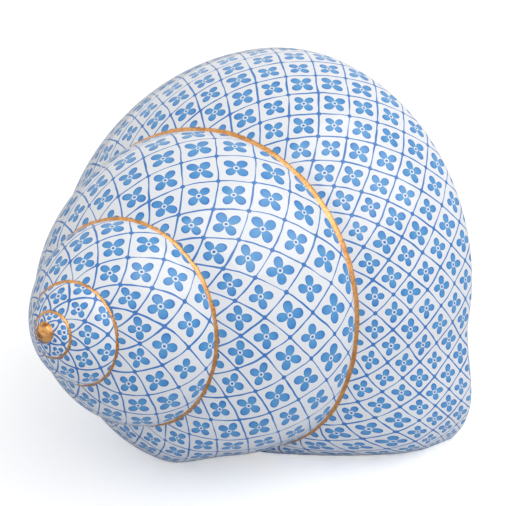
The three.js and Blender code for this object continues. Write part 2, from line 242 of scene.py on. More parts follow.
MIX = "ShaderNodeMix"
RANGE = "ShaderNodeMapRange"
COMBINE = "ShaderNodeCombineXYZ"
GROUP = "GeometryNodeGroup"
STORE = "GeometryNodeStoreNamedAttribute"
ATTRIBUTE = "ShaderNodeAttribute"
NOISE = "ShaderNodeTexNoise"
BUMP = "ShaderNodeBump"
PRINCIPLED = "ShaderNodeBsdfPrincipled"


def add(tree, kind, *values, named=None, out=0, **settings):
    """Adds a node with its settings, sets or links its inputs in order or by name, and returns an output."""
    node = tree.nodes.new(kind)
    for name, value in settings.items():
        setattr(node, name, value)
    sockets = [socket for socket in node.inputs if socket.enabled]
    pairs = list(zip(sockets, values))
    for name, value in (named or {}).items():
        pairs.append((next(socket for socket in sockets if socket.name == name), value))
    for socket, value in pairs:
        if isinstance(value, bpy.types.NodeSocket):
            tree.links.new(value, socket)
        elif value is not None:
            socket.default_value = value
    outputs = [socket for socket in node.outputs if socket.enabled]
    return outputs[out] if outputs else None


def maths(tree, operation, *values):
    """One calculation with numbers."""
    return add(tree, "ShaderNodeMath", *values, operation=operation)


def vector(tree, operation, *values):
    """One calculation with vectors."""
    return add(tree, "ShaderNodeVectorMath", *values, operation=operation)


def part(tree, whole, number=0):
    """The first, second or third number of a vector."""
    return add(tree, "ShaderNodeSeparateXYZ", whole, out=number)


def mixed(tree, share, first, second, kind="FLOAT"):
    """Between two numbers, vectors or colours: the first where the share is 0, the second where it is 1."""
    return add(tree, MIX, share, first, second, data_type=kind)


def eased(tree, value, start, end, first=0.0, last=1.0):
    """Goes gently from a first number to a last one, while a value runs from its start to its end."""
    return add(tree, RANGE, value, start, end, first, last, interpolation_type="SMOOTHSTEP")


def noise_at(tree, place, sizes, out=0):
    return add(tree, NOISE, place, *sizes, noise_dimensions="3D", out=out)


def new_tree(name, inputs, outputs):
    """A geometry tree with named inputs (name, type, value) and outputs (name, type)."""
    tree = bpy.data.node_groups.new(name, "GeometryNodeTree")
    for label, kind, value in inputs:
        socket = tree.interface.new_socket(name=label, in_out="INPUT", socket_type="NodeSocket" + kind)
        if value is not None:
            socket.default_value = value
    for label, kind in outputs:
        tree.interface.new_socket(name=label, in_out="OUTPUT", socket_type="NodeSocket" + kind)
    given = tree.nodes.new("NodeGroupInput")
    result = tree.nodes.new("NodeGroupOutput")
    return tree, {socket.name: socket for socket in given.outputs if socket.name}, result


def finish_tree(tree, result, *sockets):
    """Links the results of a tree, in order."""
    for source, target in zip(sockets, result.inputs):
        tree.links.new(source, target)
    return tree


def crest_inputs(name, sizes, unit):
    return [(f"{name}, {label}", "Float", size * unit) for label, size in zip(CREST_LABELS, sizes)]


LAW_INPUTS = [row for name, sizes in CRESTS.items() for row in crest_inputs(name, sizes, MM)]
LAW_INPUTS += crest_inputs("Seam place", SEAM_PLACE, 1)
LAW_INPUTS += [(name, "Float", value) for name, value in CURVES.items()]
LAW_NAMES = [name for name, _, _ in LAW_INPUTS]


def law_sockets(given):
    return [given[name] for name in LAW_NAMES]


def crest_sockets(given, name):
    return [given[f"{name}, {label}"] for label in CREST_LABELS]


def grown_tree():
    """A size at any turn: smooth through the logarithms of its values at the crests, steady near the tip."""
    names = ["Size 1", "Size 2", "Size 3", "Size 4"]
    inputs = [("Turn", "Float", 0.0)] + [(name, "Float", 1.0) for name in names]
    tree, given, result = new_tree("grown size", inputs, [("Size", "Float")])
    last = len(names) - 1
    back = maths(tree, "MULTIPLY", given["Turn"], -1.0)
    inside = maths(tree, "MINIMUM", back, float(last))
    past = maths(tree, "SUBTRACT", back, float(last))
    past = maths(tree, "MAXIMUM", past, 0.0)
    total = None
    for i, name in enumerate(names):
        others = [j for j in range(len(names)) if j != i]
        weight = None
        for j in others:
            factor = maths(tree, "MULTIPLY_ADD", inside, 1 / (i - j), -j / (i - j))
            weight = factor if weight is None else maths(tree, "MULTIPLY", weight, factor)
        slope = sum(
            math.prod((last - j) / (i - j) for j in others if j != k) / (i - k)
            for k in others
        )
        weight = maths(tree, "MULTIPLY_ADD", past, slope, weight)
        log = maths(tree, "LOGARITHM", given[name], math.e)
        term = maths(tree, "MULTIPLY", weight, log)
        total = term if total is None else maths(tree, "ADD", total, term)
    return finish_tree(tree, result, maths(tree, "EXPONENT", total))


def curve_tree():
    """A point on a cubic curve through the first and last of four points."""
    names = ("Start", "Handle 1", "Handle 2", "End")
    inputs = [("Share", "Float", 0.0)] + [(name, "Vector", None) for name in names]
    tree, given, result = new_tree("cubic curve", inputs, [("Point", "Vector")])
    points = [given[name] for name in names]
    while len(points) > 1:
        points = [
            add(tree, MIX, given["Share"], a, b, data_type="VECTOR", clamp_factor=False)
            for a, b in zip(points, points[1:])
        ]
    return finish_tree(tree, result, points[0])


def flank_tree(grown):
    """The lower curve's four points: the widest place, its two handles and the base."""
    names = ("Widest", "Handle 1", "Handle 2", "Base")
    inputs = [("Turn", "Float", 0.0)] + LAW_INPUTS
    tree, given, result = new_tree("flank", inputs, [(name, "Vector") for name in names])
    radius, depth, base_radius, drop = [
        add(tree, GROUP, given["Turn"], *crest_sockets(given, name), node_tree=grown)
        for name in CRESTS
    ]
    late = add(tree, "ShaderNodeClamp", given["Turn"])
    loss = maths(tree, "MULTIPLY", late, given["Late slowing"])
    radius = maths(tree, "MULTIPLY", radius, maths(tree, "SUBTRACT", 1.0, loss))
    base_depth = maths(tree, "ADD", depth, drop)
    handle_depth = maths(tree, "MULTIPLY_ADD", given["Flank drop"], drop, depth)
    width = maths(tree, "SUBTRACT", radius, base_radius)
    handle_radius = maths(tree, "MULTIPLY_ADD", given["Base reach"], width, base_radius)
    rows = [(radius, depth), (radius, handle_depth), (handle_radius, base_depth), (base_radius, base_depth)]
    points = [add(tree, COMBINE, x, y) for x, y in rows]
    return finish_tree(tree, result, *points)


def seam_place_tree(grown):
    """The share of the lower curve of the whorl before at which the whorl begins."""
    inputs = [("Turn", "Float", 0.0)] + LAW_INPUTS
    tree, given, result = new_tree("seam place", inputs, [("Share", "Float")])
    place = add(tree, GROUP, given["Turn"], *crest_sockets(given, "Seam place"), node_tree=grown)
    angle = maths(tree, "SUBTRACT", given["Turn"], given["Seam lowest turn"])
    angle = maths(tree, "MULTIPLY", angle, 2 * math.pi)
    wave = maths(tree, "COSINE", angle)
    wander = maths(tree, "MULTIPLY_ADD", wave, given["Seam wander"], 1.0)
    return finish_tree(tree, result, maths(tree, "MULTIPLY", place, wander))


def outline_tree(curve, flank, seam_place):
    """The whorl's outline: At runs from 0 at the seam, by 1 at the widest place, to 2 at the base."""
    inputs = [("Turn", "Float", 0.0), ("At", "Float", 0.0)] + LAW_INPUTS
    tree, given, result = new_tree("outline", inputs, [("Point", "Vector")])
    law = law_sockets(given)
    turn = given["Turn"]
    last_turn = maths(tree, "SUBTRACT", turn, 1.0)
    place = add(tree, GROUP, turn, *law, node_tree=seam_place)
    now = tree.nodes.new("GeometryNodeGroup")
    before = tree.nodes.new("GeometryNodeGroup")
    for node, at_turn in ((now, turn), (before, last_turn)):
        node.node_tree = flank
        for socket, source in zip(node.inputs, [at_turn] + law):
            tree.links.new(source, socket)
    start = add(tree, GROUP, place, *before.outputs[:4], node_tree=curve)
    end = now.outputs[0]
    span = vector(tree, "DISTANCE", end, start)
    reach = maths(tree, "MULTIPLY", span, given["Shoulder reach"])
    along = maths(tree, "COSINE", given["Shoulder slope"])
    down = maths(tree, "SINE", given["Shoulder slope"])
    slope = add(tree, COMBINE, along, down)
    handle = vector(tree, "ADD", vector(tree, "SCALE", slope, reach), start)
    fall = part(tree, vector(tree, "SUBTRACT", start, end), 1)
    lift = add(tree, COMBINE, 0.0, maths(tree, "MULTIPLY", fall, given["Shoulder drop"]))
    upper = vector(tree, "ADD", end, lift)
    shoulder = add(tree, GROUP, given["At"], start, handle, upper, end, node_tree=curve)
    below = maths(tree, "SUBTRACT", given["At"], 1.0)
    lower = add(tree, GROUP, below, *now.outputs[:4], node_tree=curve)
    is_shoulder = maths(tree, "LESS_THAN", given["At"], 1.0)
    point = add(tree, "GeometryNodeSwitch", is_shoulder, lower, shoulder, input_type="VECTOR")
    return finish_tree(tree, result, point)


def offset_tree(outline):
    """A point at a distance inside the outline; a negative distance is outside it."""
    inputs = [("Turn", "Float", 0.0), ("At", "Float", 0.0), ("Distance", "Float", 0.0)] + LAW_INPUTS
    tree, given, result = new_tree("set in", inputs, [("Point", "Vector")])
    law = law_sockets(given)
    spots = [given["At"]]
    for side in (-TANGENT_STEP, TANGENT_STEP):
        moved = maths(tree, "ADD", given["At"], side)
        spots.append(add(tree, "ShaderNodeClamp", moved, 0.0, 2.0))
    point, before, after = [add(tree, GROUP, given["Turn"], at, *law, node_tree=outline) for at in spots]
    along = vector(tree, "NORMALIZE", vector(tree, "SUBTRACT", after, before))
    inwards = vector(tree, "CROSS_PRODUCT", along, (0.0, 0.0, -1.0))
    moved = vector(tree, "SCALE", inwards, given["Distance"])
    return finish_tree(tree, result, vector(tree, "ADD", point, moved))


def room_inputs():
    """The spiral's directions in the room; the sideways one is shortened by the squash."""
    axis = Vector((
        -math.sin(AXIS_SWING) * math.cos(AXIS_RISE),
        -math.cos(AXIS_SWING) * math.cos(AXIS_RISE),
        math.sin(AXIS_RISE),
    ))
    upward = (Vector((0, 0, 1)) - axis * axis.z).normalized()
    return [
        ("Tip", "Vector", TIP),
        ("Down the axis", "Vector", -(axis - upward * AXIS_SAG)),
        ("Upward", "Vector", upward),
        ("Sideways", "Vector", upward.cross(axis) * SIDE_SQUASH),
        ("Belly shift", "Vector", BELLY_SHIFT),
        ("Rim shift", "Vector", RIM_SHIFT),
    ]


ROOM_INPUTS = room_inputs()


def mouth_middle():
    """A quarter turn before the spiral ends, half way out to the widest place."""
    down, upward, sideways = [way for _, _, way in ROOM_INPUTS[1:4]]
    angle = 2 * math.pi * (MOUTH_TURN - 0.25)
    radius = CRESTS["Widest radius"][0] * MM / 2
    depth = CRESTS["Widest depth"][0] * MM
    return TIP + down * depth + (upward * math.cos(angle) + sideways * math.sin(angle)) * radius


def room_sockets(given):
    return [given[name] for name, _, _ in ROOM_INPUTS]


def placed_tree():
    """The place in the room of a radius and a depth at a turn, with what lies over near the table."""
    inputs = [("Turn", "Float", 0.0), ("Point", "Vector", None)] + ROOM_INPUTS
    tree, given, result = new_tree("placed", inputs, [("Position", "Vector")])
    angle = maths(tree, "MULTIPLY", given["Turn"], 2 * math.pi)
    radius = part(tree, given["Point"])
    depth = part(tree, given["Point"], 1)
    position = vector(tree, "SCALE", given["Down the axis"], depth)
    position = vector(tree, "ADD", position, given["Tip"])
    for direction, wave in (("Upward", "COSINE"), ("Sideways", "SINE")):
        reach = maths(tree, "MULTIPLY", radius, maths(tree, wave, angle))
        moved = vector(tree, "SCALE", given[direction], reach)
        position = vector(tree, "ADD", position, moved)
    across, back, height = [part(tree, position, i) for i in range(3)]
    low = add(tree, RANGE, height, 0.0, SHIFT_HEIGHT, 1.0, 0.0)
    low = maths(tree, "POWER", low, SHIFT_BEND)
    front = eased(tree, back, *SHIFT_FROM_FRONT)
    low_front = maths(tree, "MULTIPLY", low, front)
    for name, spans in (("Belly shift", BELLY_ACROSS), ("Rim shift", RIM_ACROSS)):
        amount = low_front
        for start, end in spans:
            share = eased(tree, across, start * MM, end * MM)
            amount = maths(tree, "MULTIPLY", amount, share)
        moved = vector(tree, "SCALE", given[name], amount)
        position = vector(tree, "ADD", position, moved)
    return finish_tree(tree, result, position)


LIP_INPUTS = [
    ("Mouth turn", "Float", MOUTH_TURN),
    ("Lip turns", "Float", LIP_TURNS),
    ("Lip clearance", "Float", LIP_CLEARANCE),
]
SHARED_INPUTS = LIP_INPUTS + LAW_INPUTS + ROOM_INPUTS


def lip_sockets(given):
    return [given[name] for name, _, _ in LIP_INPUTS]


def lip_share(tree, given, turn):
    """How far the last stretch has closed in on the whorl before: 1 at the mouth's end."""
    start = maths(tree, "SUBTRACT", given["Mouth turn"], given["Lip turns"])
    return eased(tree, turn, start, given["Mouth turn"])


def body_outline_tree(seam_place, set_in):
    """A whorl's outline that closes in on the whorl before over the lip, or all along where Cover is 1."""
    inputs = [(name, "Float", 0.0) for name in ("Turn", "At", "Distance", "Cover")]
    inputs += LIP_INPUTS + LAW_INPUTS
    tree, given, result = new_tree("closing outline", inputs, [("Point", "Vector"), ("Lip share", "Float")])
    law = law_sockets(given)
    lip = lip_share(tree, given, given["Turn"])
    share = maths(tree, "MAXIMUM", lip, given["Cover"])
    wall = mixed(tree, share, given["Distance"], 0.0)
    free = add(tree, GROUP, given["Turn"], given["At"], wall, *law, node_tree=set_in)
    last_turn = maths(tree, "SUBTRACT", given["Turn"], 1.0)
    place = add(tree, GROUP, given["Turn"], *law, node_tree=seam_place)
    past_seam = maths(tree, "ADD", place, 1.0)
    along = maths(tree, "MULTIPLY", given["At"], 0.5)
    cover_at = mixed(tree, along, past_seam, 2.0)
    clear = maths(tree, "MULTIPLY", given["Lip clearance"], -1.0)
    cover = add(tree, GROUP, last_turn, cover_at, clear, *law, node_tree=set_in)
    return finish_tree(tree, result, mixed(tree, share, free, cover, "VECTOR"), lip)


def grid_of(tree, columns, rows):
    """A grid of columns and rows, and the numbers of each point's column and row."""
    grid = add(tree, "GeometryNodeMeshGrid", named={"Vertices X": columns, "Vertices Y": rows})
    index = add(tree, "GeometryNodeInputIndex")
    column = maths(tree, "FLOOR", maths(tree, "DIVIDE", index, rows))
    return grid, index, column, maths(tree, "FLOORED_MODULO", index, rows)


def closed(tree, mesh, material):
    """The mesh with its meeting edges welded, in its material."""
    mesh = add(tree, "GeometryNodeMergeByDistance", mesh, None, WELD)
    return add(tree, "GeometryNodeSetMaterial", mesh, None, material)


def whorl_tree(flank, body_outline, placed):
    """A whorl's wall: the outside from the seam to the base, and the inside back again.

    The attribute "paint" holds how many motifs lie across and down, and the size of one in mm; "place" holds
    the girth (0 at the axis, 1 at the widest place, 2 under the axis), 1 outside and 0 inside, and the turn.
    """
    inputs = [
        ("Start turn", "Float", 0.0),
        ("End turn", "Float", 1.0),
        ("Turn steps", "Int", 300),
        ("Section steps", "Int", 56),
        ("Wall", "Float", WALL),
        ("Filled", "Float", 0.0),
        ("Motifs", "Float", float(MOTIFS)),
        ("Motif growth", "Float", MOTIF_GROWTH),
        ("Flare", "Float", FLARE),
        ("Flare height", "Float", FLARE_HEIGHT),
        ("Mouth middle", "Vector", (0, 0, 0)),
        ("Foot shift", "Vector", FOOT_SHIFT),
        ("Foot height", "Float", FOOT_HEIGHT),
        ("Foot bend", "Float", FOOT_BEND),
        ("Material", "Material", None),
    ]
    tree, given, result = new_tree("whorl", inputs + SHARED_INPUTS, [("Wall", "Geometry")])
    steps = given["Section steps"]
    ring = maths(tree, "MULTIPLY_ADD", steps, 2.0, 2.0)
    rows = maths(tree, "ADD", ring, 1.0)
    columns = maths(tree, "ADD", given["Turn steps"], 1.0)
    grid, index, column, full_row = grid_of(tree, columns, rows)
    row = maths(tree, "FLOORED_MODULO", full_row, ring)
    turns = maths(tree, "DIVIDE", column, given["Turn steps"])
    turn = mixed(tree, turns, given["Start turn"], given["End turn"])
    inside = maths(tree, "GREATER_THAN", row, maths(tree, "ADD", steps, 0.5))
    back = maths(tree, "SUBTRACT", maths(tree, "SUBTRACT", ring, 1.0), row)
    step = mixed(tree, inside, row, back)
    at = maths(tree, "MULTIPLY", maths(tree, "DIVIDE", step, steps), 2.0)
    depth_in = maths(tree, "MULTIPLY", inside, given["Wall"])
    cover = maths(tree, "MULTIPLY", inside, given["Filled"])
    section = [turn, at, depth_in, cover] + lip_sockets(given) + law_sockets(given)
    point = add(tree, GROUP, *section, node_tree=body_outline)
    lip = add(tree, GROUP, *section, node_tree=body_outline, out=1)
    position = add(tree, GROUP, turn, point, *room_sockets(given), node_tree=placed)

    height = part(tree, position, 2)
    along = maths(tree, "MULTIPLY", at, 0.5)
    free = maths(tree, "SUBTRACT", 1.0, lip)
    amounts = []
    for reach, bend, turns, shares, allowed in (
        (given["Flare height"], FLARE_BEND, FLARE_TURNS, FLARE_SHARES, 1.0),
        (given["Foot height"], given["Foot bend"], FOOT_TURNS, FOOT_SHARES, free),
    ):
        near = add(tree, RANGE, height, 0.0, reach, 1.0, 0.0)
        amount = maths(tree, "MULTIPLY", allowed, maths(tree, "POWER", near, bend))
        for value, span in ((turn, turns), (along, shares)):
            share = eased(tree, value, *span)
            amount = maths(tree, "MULTIPLY", amount, share)
        amounts.append(amount)
    flared, shifted = amounts
    kept = eased(tree, along, *FOOT_EDGE_SHARES, 1.0, 0.0)
    shifted = maths(tree, "MULTIPLY", shifted, kept)
    flared = maths(tree, "MULTIPLY", flared, given["Flare"])
    outwards = vector(tree, "SUBTRACT", position, given["Mouth middle"])
    outwards = vector(tree, "MULTIPLY", outwards, (1.0, 1.0, 0.0))
    outwards = vector(tree, "SCALE", vector(tree, "NORMALIZE", outwards), flared)
    over_right = vector(tree, "SCALE", given["Foot shift"], shifted)
    for way in (outwards, over_right):
        position = vector(tree, "ADD", position, way)
    mesh = add(tree, "GeometryNodeSetPosition", grid, None, position)

    before = maths(tree, "SUBTRACT", index, 1.0)
    of_points = {"data_type": "FLOAT_VECTOR", "domain": "POINT"}
    last_point = add(tree, "GeometryNodeFieldAtIndex", point, before, **of_points)
    reached = vector(tree, "DISTANCE", point, last_point)
    past_first = maths(tree, "GREATER_THAN", row, 0.5)
    reached = maths(tree, "MULTIPLY", reached, past_first)
    arc = add(tree, "GeometryNodeAccumulateField", reached, column, data_type="FLOAT", domain="POINT")
    arc = maths(tree, "MULTIPLY", arc, past_first)
    growth = maths(tree, "POWER", given["Motif growth"], turn)
    per_turn = maths(tree, "MULTIPLY", given["Motifs"], growth)
    log_growth = maths(tree, "LOGARITHM", given["Motif growth"], math.e)
    across = maths(tree, "DIVIDE", per_turn, log_growth)
    widest = part(tree, add(tree, GROUP, turn, *law_sockets(given), node_tree=flank))
    motif = maths(tree, "DIVIDE", maths(tree, "MULTIPLY", widest, 2 * math.pi), per_turn)
    down = maths(tree, "DIVIDE", arc, motif)
    below = maths(tree, "GREATER_THAN", at, 1.0)
    narrowing = maths(tree, "DIVIDE", part(tree, point), widest)
    girth = mixed(tree, below, narrowing, maths(tree, "SUBTRACT", 2.0, narrowing))
    outside = maths(tree, "SUBTRACT", 1.0, inside)
    attributes = {
        "paint": add(tree, COMBINE, across, down, maths(tree, "MULTIPLY", motif, 1 / MM)),
        "place": add(tree, COMBINE, girth, outside, turn),
    }
    for name, value in attributes.items():
        mesh = add(tree, STORE, mesh, None, name, value, **of_points)
    return finish_tree(tree, result, closed(tree, mesh, given["Material"]))


def pillar_tree(flank, placed):
    """The pillar inside: rings that wind down its height, and a dished navel in its foot."""
    inputs = [
        ("Start turn", "Float", MOUTH_TURN - 1),
        ("Turns of height", "Float", 4.0),
        ("Rings", "Int", 64),
        ("Dish rings", "Int", 12),
        ("Sides", "Int", 72),
        ("Navel turn", "Float", NAVEL_TURN),
        ("Material", "Material", None),
    ]
    tree, given, result = new_tree("pillar", inputs + SHARED_INPUTS, [("Pillar", "Geometry")])
    law = law_sockets(given)
    last_row = maths(tree, "ADD", given["Rings"], given["Dish rings"])
    rows = maths(tree, "ADD", last_row, 1.0)
    columns = maths(tree, "ADD", given["Sides"], 1.0)
    grid, index, column, row = grid_of(tree, columns, rows)
    turn = maths(tree, "ADD", maths(tree, "DIVIDE", column, given["Sides"]), given["Start turn"])
    rim_turn = maths(tree, "SUBTRACT", turn, lip_share(tree, given, turn))
    level = add(tree, RANGE, row, 0.0, given["Rings"], given["Turns of height"], 0.0)
    rim = add(tree, GROUP, maths(tree, "SUBTRACT", rim_turn, level), *law, node_tree=flank, out=3)
    navel = add(tree, GROUP, given["Navel turn"], *law, node_tree=flank, out=3)
    navel_point = add(tree, COMBINE, 0.0, part(tree, navel, 1))
    dish = add(tree, RANGE, row, given["Rings"], last_row, 0.0, 1.0)
    fall = eased(tree, row, given["Rings"], last_row)
    radius = part(tree, mixed(tree, dish, rim, navel_point, "VECTOR"))
    depth = part(tree, mixed(tree, fall, rim, navel_point, "VECTOR"), 1)
    point = add(tree, COMBINE, radius, depth)
    position = add(tree, GROUP, turn, point, *room_sockets(given), node_tree=placed)
    mesh = add(tree, "GeometryNodeSetPosition", grid, None, position)
    return finish_tree(tree, result, closed(tree, mesh, given["Material"]))


def gilt_line_tree(curve, seam_place, outline, body_outline, placed):
    """A band of gilding that lies across the groove, a little crowned, and sinks at both its edges."""
    inputs = [
        ("Start turn", "Float", 0.0),
        ("End turn", "Float", 1.0),
        ("Turn steps", "Int", 400),
        ("Crown steps", "Int", 8),
        ("Width above", "Float", LINE_WIDTHS[0][0] * MM),
        ("Width below", "Float", LINE_WIDTHS[0][1] * MM),
        ("Crown", "Float", LINE_CROWN),
        ("Sink", "Float", LINE_SINK),
        ("Unevenness", "Float", LINE_UNEVENNESS),
        ("Seed", "Float", LINE_SEED),
        ("Material", "Material", None),
    ]
    tree, given, result = new_tree("gilt line", inputs + SHARED_INPUTS, [("Line", "Geometry")])
    law = law_sockets(given)
    ring = maths(tree, "MULTIPLY", given["Crown steps"], 2.0)
    rows = maths(tree, "ADD", ring, 1.0)
    columns = maths(tree, "ADD", given["Turn steps"], 1.0)
    grid, index, column, row = grid_of(tree, columns, rows)
    turns = maths(tree, "DIVIDE", column, given["Turn steps"])
    turn = mixed(tree, turns, given["Start turn"], given["End turn"])
    last_turn = maths(tree, "SUBTRACT", turn, 1.0)
    place = add(tree, GROUP, turn, *law, node_tree=seam_place)
    seam_at = maths(tree, "ADD", place, 1.0)
    seam = add(tree, GROUP, last_turn, seam_at, *law, node_tree=outline)
    closing = lip_sockets(given) + law

    def on_side(side, share):
        """A point at a share of the outline from the groove, above it or below it."""
        if side < 0:
            at = maths(tree, "ADD", seam_at, share)
            return add(tree, GROUP, last_turn, at, *law, node_tree=outline)
        return add(tree, GROUP, turn, share, 0.0, 0.0, *closing, node_tree=body_outline)

    edges = []
    spread = maths(tree, "MULTIPLY_ADD", turn, LINE_WANDERS, given["Seed"])
    for width, side, noise_from in LINE_SIDES:
        wander = maths(tree, "ADD", spread, noise_from)
        noise = add(tree, NOISE, wander, *LINE_NOISE, noise_dimensions="1D")
        uneven = maths(tree, "SUBTRACT", noise, 0.5)
        uneven = maths(tree, "MULTIPLY_ADD", uneven, given["Unevenness"], 1.0)
        reach = maths(tree, "MULTIPLY", given[width], uneven)
        near = on_side(side, side * EDGE_STEP)
        speed = maths(tree, "MULTIPLY", vector(tree, "DISTANCE", near, seam), 1 / EDGE_STEP)
        share = maths(tree, "MULTIPLY", maths(tree, "DIVIDE", reach, speed), side)
        edges.append(on_side(side, share))
    above, below = edges
    across = vector(tree, "NORMALIZE", vector(tree, "SUBTRACT", below, above))
    outwards = vector(tree, "CROSS_PRODUCT", across, (0.0, 0.0, 1.0))
    crown = vector(tree, "SCALE", outwards, maths(tree, "MULTIPLY", given["Crown"], 4 / 3))
    sink = vector(tree, "SCALE", outwards, maths(tree, "MULTIPLY", given["Sink"], -1.0))
    above, below, seam = [vector(tree, "ADD", point, sink) for point in (above, below, seam)]
    handles = [
        vector(tree, "ADD", mixed(tree, share, above, below, "VECTOR"), crown)
        for share in (1 / 3, 2 / 3)
    ]
    share = maths(tree, "DIVIDE", row, given["Crown steps"])
    top = add(tree, GROUP, share, above, *handles, below, node_tree=curve)
    under_share = maths(tree, "SUBTRACT", share, 1.0)
    under = add(tree, GROUP, under_share, below, seam, seam, above, node_tree=curve)
    is_under = maths(tree, "GREATER_THAN", share, 1.0)
    point = mixed(tree, is_under, top, under, "VECTOR")
    position = add(tree, GROUP, turn, point, *room_sockets(given), node_tree=placed)
    mesh = add(tree, "GeometryNodeSetPosition", grid, None, position)
    return finish_tree(tree, result, closed(tree, mesh, given["Material"]))


def tip_tree(placed):
    """The gilded dome at the tip of the spire, a little uneven."""
    inputs = [
        ("Radius", "Float", TIP_RADIUS),
        ("Rise", "Float", TIP_RISE),
        ("Seat", "Float", TIP_SEAT),
        ("Unevenness", "Float", TIP_UNEVENNESS),
        ("Rings", "Int", 24),
        ("Sides", "Int", 48),
        ("Material", "Material", None),
    ]
    tree, given, result = new_tree("tip", inputs + ROOM_INPUTS, [("Dome", "Geometry")])
    rows = maths(tree, "ADD", given["Rings"], 1.0)
    columns = maths(tree, "ADD", given["Sides"], 1.0)
    grid, index, column, row = grid_of(tree, columns, rows)
    turn = maths(tree, "DIVIDE", column, given["Sides"])
    angle = add(tree, RANGE, row, 0.0, given["Rings"], 0.0, math.pi / 2)
    radius = maths(tree, "MULTIPLY", given["Radius"], maths(tree, "SINE", angle))
    height = maths(tree, "ADD", given["Rise"], given["Seat"])
    height = maths(tree, "MULTIPLY", height, maths(tree, "COSINE", angle))
    depth = maths(tree, "SUBTRACT", given["Seat"], height)
    point = add(tree, COMBINE, radius, depth)
    smooth = add(tree, GROUP, turn, point, *room_sockets(given), node_tree=placed)
    noise = noise_at(tree, smooth, TIP_LUMPS, out=1)
    noise = vector(tree, "SUBTRACT", noise, (0.5, 0.5, 0.5))
    noise = vector(tree, "SCALE", noise, given["Unevenness"])
    mesh = add(tree, "GeometryNodeSetPosition", grid, None, vector(tree, "ADD", smooth, noise))
    return finish_tree(tree, result, closed(tree, mesh, given["Material"]))


def grow(name, tree, **sizes):
    """Runs a tree on a new piece and keeps its result as a plain mesh."""
    piece = bpy.data.objects.new(name, bpy.data.meshes.new(name))
    bpy.context.collection.objects.link(piece)
    modifier = piece.modifiers.new("growth", "NODES")
    modifier.node_group = tree
    given = {label.replace("_", " "): value for label, value in sizes.items()}
    for item in tree.interface.items_tree:
        if item.in_out == "INPUT" and item.name in given:
            modifier[item.identifier] = given[item.name]
    evaluated = piece.evaluated_get(bpy.context.evaluated_depsgraph_get())
    mesh = bpy.data.meshes.new_from_object(evaluated)
    piece.modifiers.remove(modifier)
    piece.data = mesh
    return piece


def cut_at_table(shape, floor_until):
    """Closes the wall along the table before a turn, and cuts it open there after it."""
    place = shape.verts.layers.float_vector.get("place")
    everything = shape.verts[:] + shape.edges[:] + shape.faces[:]
    bmesh.ops.bisect_plane(shape, geom=everything, dist=WELD, plane_co=(0, 0, 0), plane_no=(0, 0, 1))
    if place:
        parts = set()
        for face in shape.faces:
            if all(vert[place].z < floor_until and vert[place].y < 0.5 for vert in face.verts):
                parts.update((face, *face.edges, *face.verts))
        plane = {"plane_co": (0, 0, FLOOR), "plane_no": (0, 0, 1)}
        bmesh.ops.bisect_plane(shape, geom=list(parts), dist=WELD, **plane)
        for vert in shape.verts:
            if vert[place].z < floor_until:
                vert.co.z = max(vert.co.z, 0 if vert[place].y > 0.5 else FLOOR)
    below = [vert for vert in shape.verts if vert.co.z < -WELD]
    bmesh.ops.delete(shape, geom=below, context="VERTS")
    rim = [edge for edge in shape.edges if edge.is_boundary]
    if rim:
        bmesh.ops.triangle_fill(shape, edges=rim, use_beauty=True, normal=(0, 0, -1))


def finished(piece, nodes, floor_until=NO_FLOOR):
    """Closes a grown piece, stands it on the table, and lets it stand for its CAD nodes."""
    shape = bmesh.new()
    shape.from_mesh(piece.data)
    holes = [edge for edge in shape.edges if edge.is_boundary]
    if holes:
        bmesh.ops.holes_fill(shape, edges=holes, sides=0)
    bmesh.ops.recalc_face_normals(shape, faces=shape.faces[:])
    if min(vert.co.z for vert in shape.verts) < 0:
        cut_at_table(shape, floor_until)
    bmesh.ops.dissolve_degenerate(shape, dist=WELD / 4, edges=shape.edges[:])
    for face in shape.faces:
        face.smooth = True
    for edge in shape.edges:
        edge.smooth = edge.is_manifold and edge.calc_face_angle() < CREASE
    shape.to_mesh(piece.data)
    shape.free()
    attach(piece, "root")
    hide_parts(*nodes)
    return piece


def linear(code):
    """A colour written as sRGB hex, made linear."""
    parts = [int(code[i:i + 2], 16) / 255 for i in (1, 3, 5)]
    return tuple(c / 12.92 if c <= 0.04045 else ((c + 0.055) / 1.055) ** 2.4 for c in parts) + (1.0,)


def new_material(name):
    material = bpy.data.materials.new(name)
    material.use_nodes = True
    tree = material.node_tree
    tree.nodes.clear()
    return material, tree


def mask(tree, value, edge, softness=STROKE_SOFTNESS):
    """1 where a value in mm is below an edge and 0 above it, soft as colour ends under a glaze."""
    low = maths(tree, "SUBTRACT", edge, softness)
    high = maths(tree, "ADD", edge, softness)
    return eased(tree, value, low, high, 1.0, 0.0)


def over(tree, below, colour, share):
    """A colour laid over another."""
    return mixed(tree, share, below, colour, "RGBA")


def length(tree, x, y):
    """The length of a step of x across and y down."""
    squares = maths(tree, "MULTIPLY_ADD", x, x, maths(tree, "MULTIPLY", y, y))
    return maths(tree, "POWER", squares, 0.5)


def cell_places(tree, p, q, wide, tall, middle):
    """Distances in mm across and down from the nearest crossing, or from the middle of the diamond."""
    shifted = []
    for value in (p, q):
        moved = maths(tree, "ADD", value, 0.0 if middle else 0.5)
        shifted.append(maths(tree, "SUBTRACT", maths(tree, "FRACT", moved), 0.5))
    a, b = shifted
    x = maths(tree, "MULTIPLY", maths(tree, "ADD", a, b), wide)
    y = maths(tree, "MULTIPLY", maths(tree, "SUBTRACT", a, b), tall)
    return [maths(tree, "MULTIPLY", value, 0.5) for value in (x, y)]


def wobbled(tree, here, places):
    """Places moved by the unsteadiness of a hand."""
    hand = noise_at(tree, here, HAND_NOISE, out=1)
    moved = []
    for i, place in enumerate(places):
        shift = maths(tree, "SUBTRACT", part(tree, hand, i), 0.5)
        moved.append(maths(tree, "MULTIPLY_ADD", shift, HAND_WOBBLE, place))
    return moved


